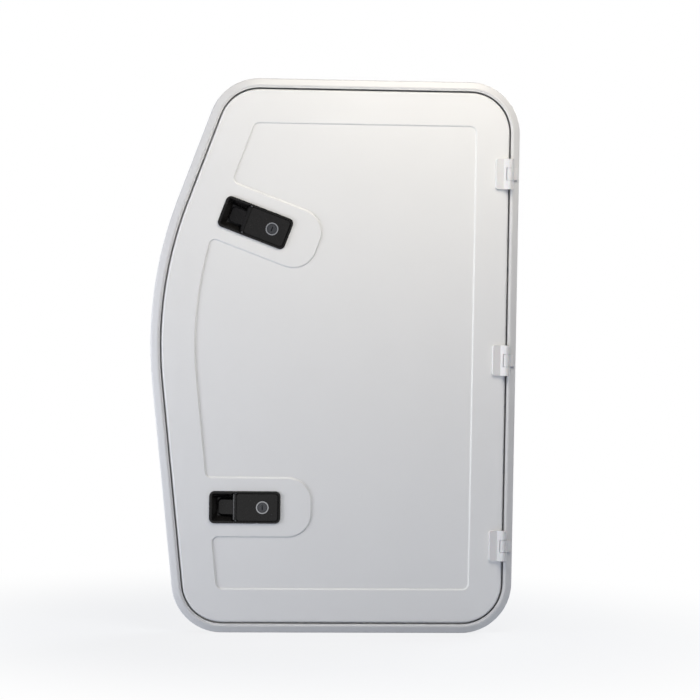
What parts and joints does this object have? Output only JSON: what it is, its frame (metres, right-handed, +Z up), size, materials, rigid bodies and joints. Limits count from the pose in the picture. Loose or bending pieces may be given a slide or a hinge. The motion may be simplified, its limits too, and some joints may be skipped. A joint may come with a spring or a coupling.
{
  "type": "caravan access door",
  "caption": "Lockable white access door for a caravan or camper: slanted side, sunken field, hinges at the right and paddle latches, in a flanged frame.",
  "frame": {"origin": "on the back of the bottom flange, at the middle of its width and half way across the leaf", "axes": "+Z up, -Y out of the vehicle, +Y into the wall, +X towards the hinges"},
  "size_m": [0.55, 0.0497, 0.8301],
  "materials": {
    "frame_white": "satin white powder coat on aluminium",
    "leaf_white": "satin white sheet",
    "liner_white": "matt light liner",
    "foam": "closed-cell foam",
    "hinge_white": "moulded white plastic",
    "seal_grey": "matt light grey rubber",
    "lock_black": "finely textured black plastic",
    "cylinder_chrome": "polished chrome plate",
    "plug_steel": "brushed",
    "pin_steel": "zinc-plated"
  },
  "bodies": {
    "frame": {"frame": "frame_white", "reveal_seal": "seal_grey", "stop_seal": "seal_grey", "top_hinge_bracket": "hinge_white", "top_hinge_pin": "pin_steel", "middle_hinge_bracket": "hinge_white", "middle_hinge_pin": "pin_steel", "bottom_hinge_bracket": "hinge_white", "bottom_hinge_pin": "pin_steel"},
    "door": {"leaf_skin": "leaf_white", "leaf_core": "foam", "leaf_liner": "liner_white", "leaf_edge": "leaf_white", "top_hinge_leaf": "hinge_white", "middle_hinge_leaf": "hinge_white", "bottom_hinge_leaf": "hinge_white", "upper_lock_housing": "lock_black", "upper_lock_clamp": "lock_black", "upper_paddle_pin": "pin_steel", "lower_lock_housing": "lock_black", "lower_lock_clamp": "lock_black", "lower_paddle_pin": "pin_steel"},
    "upper_handle": {"upper_paddle": "lock_black", "upper_latch_arm": "pin_steel", "upper_cylinder": "cylinder_chrome"},
    "upper_key": {"upper_key_plug": "plug_steel"},
    "lower_handle": {"lower_paddle": "lock_black", "lower_latch_arm": "pin_steel", "lower_cylinder": "cylinder_chrome"},
    "lower_key": {"lower_key_plug": "plug_steel"}
  },
  "joints": [
    {"name": "door_hinge", "type": "hinge", "parent": "frame", "child": "door", "pos_m": [0.26, -0.0125, 0.40875], "axis": [0, 0, 1], "range_deg": [0, 165]},
    {"name": "upper_handle_tilt", "type": "hinge", "parent": "door", "child": "upper_handle", "pos_m": [-0.13377, 0, 0.61343], "axis": [-0.3469, 0, -0.9379], "range_deg": [0, 30]},
    {"name": "lower_handle_tilt", "type": "hinge", "parent": "door", "child": "lower_handle", "pos_m": [-0.14442, 0, 0.18275], "axis": [0, 0, -1], "range_deg": [0, 30]},
    {"name": "upper_key_turn", "type": "hinge", "parent": "upper_handle", "child": "upper_key", "pos_m": [-0.09673, 0, 0.59973], "axis": [0, 1, 0], "range_deg": [0, 90]},
    {"name": "lower_key_turn", "type": "hinge", "parent": "lower_handle", "child": "lower_key", "pos_m": [-0.10492, 0, 0.18275], "axis": [0, 1, 0], "range_deg": [0, 90]}
  ]
}
